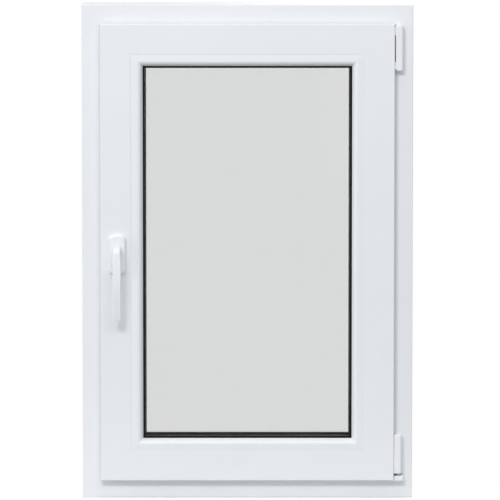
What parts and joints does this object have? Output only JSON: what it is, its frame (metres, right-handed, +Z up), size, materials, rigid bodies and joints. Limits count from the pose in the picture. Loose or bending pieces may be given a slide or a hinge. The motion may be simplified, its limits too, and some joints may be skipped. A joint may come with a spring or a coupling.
{
  "type": "tilt and turn window",
  "caption": "White plastic tilt and turn window with a double glazed sash, closed, with a lever handle on the left and hinges on the right",
  "frame": {"origin": "middle of the frame's underside, at half its depth", "axes": "+Z up, +X to the right seen from the room, -Y towards the room, +Y outdoors"},
  "size_m": [0.6, 0.1377, 0.9],
  "materials": {
    "frame_profile": "smooth white PVC, satin",
    "sash_profile": "smooth white PVC, satin",
    "bead_profile": "smooth white PVC, satin",
    "gasket": "black rubber, matt",
    "glass": "clear float glass",
    "spacer": "mill finish spacer bar",
    "sealant": "dark edge sealant",
    "block": "plain plastic packer",
    "handle": "white powder coat, satin",
    "hinge_cover": "white moulded plastic",
    "hinge_white": "white powder coat, satin",
    "hinge_steel": "zinc plated steel"
  },
  "bodies": {
    "window": {"frame_head": "frame_profile", "frame_sill_rail": "frame_profile", "frame_left_jamb": "frame_profile", "frame_right_jamb": "frame_profile", "frame_stop_gasket": "gasket", "drainage_caps": "frame_profile", "sash_top_rail": "sash_profile", "sash_bottom_rail": "sash_profile", "sash_left_stile": "sash_profile", "sash_right_stile": "sash_profile", "sash_overlap_gasket": "gasket", "glazing_bead_top": "bead_profile", "glazing_bead_bottom": "bead_profile", "glazing_bead_left": "bead_profile", "glazing_bead_right": "bead_profile", "bead_gasket": "gasket", "outer_glazing_gasket": "gasket", "inner_pane": "glass", "outer_pane": "glass", "spacer_bar": "spacer", "edge_seal": "sealant", "setting_blocks": "block", "handle_rosette": "handle", "stay_bearing": "hinge_steel", "stay_arm": "hinge_steel", "stay_hinge_pin": "hinge_steel", "upper_hinge_cover": "hinge_cover", "corner_bearing": "hinge_white", "corner_hinge": "hinge_steel", "pivot_pin": "hinge_steel", "lower_hinge_cover": "hinge_cover"},
    "handle": {"handle_lever": "handle", "handle_spindle": "hinge_steel"}
  },
  "joints": [
    {"name": "handle_turn", "type": "hinge", "parent": "window", "child": "handle", "pos_m": [-0.236, -0.0625, 0.457], "axis": [0, -1, 0], "range_deg": [0, 180]}
  ]
}
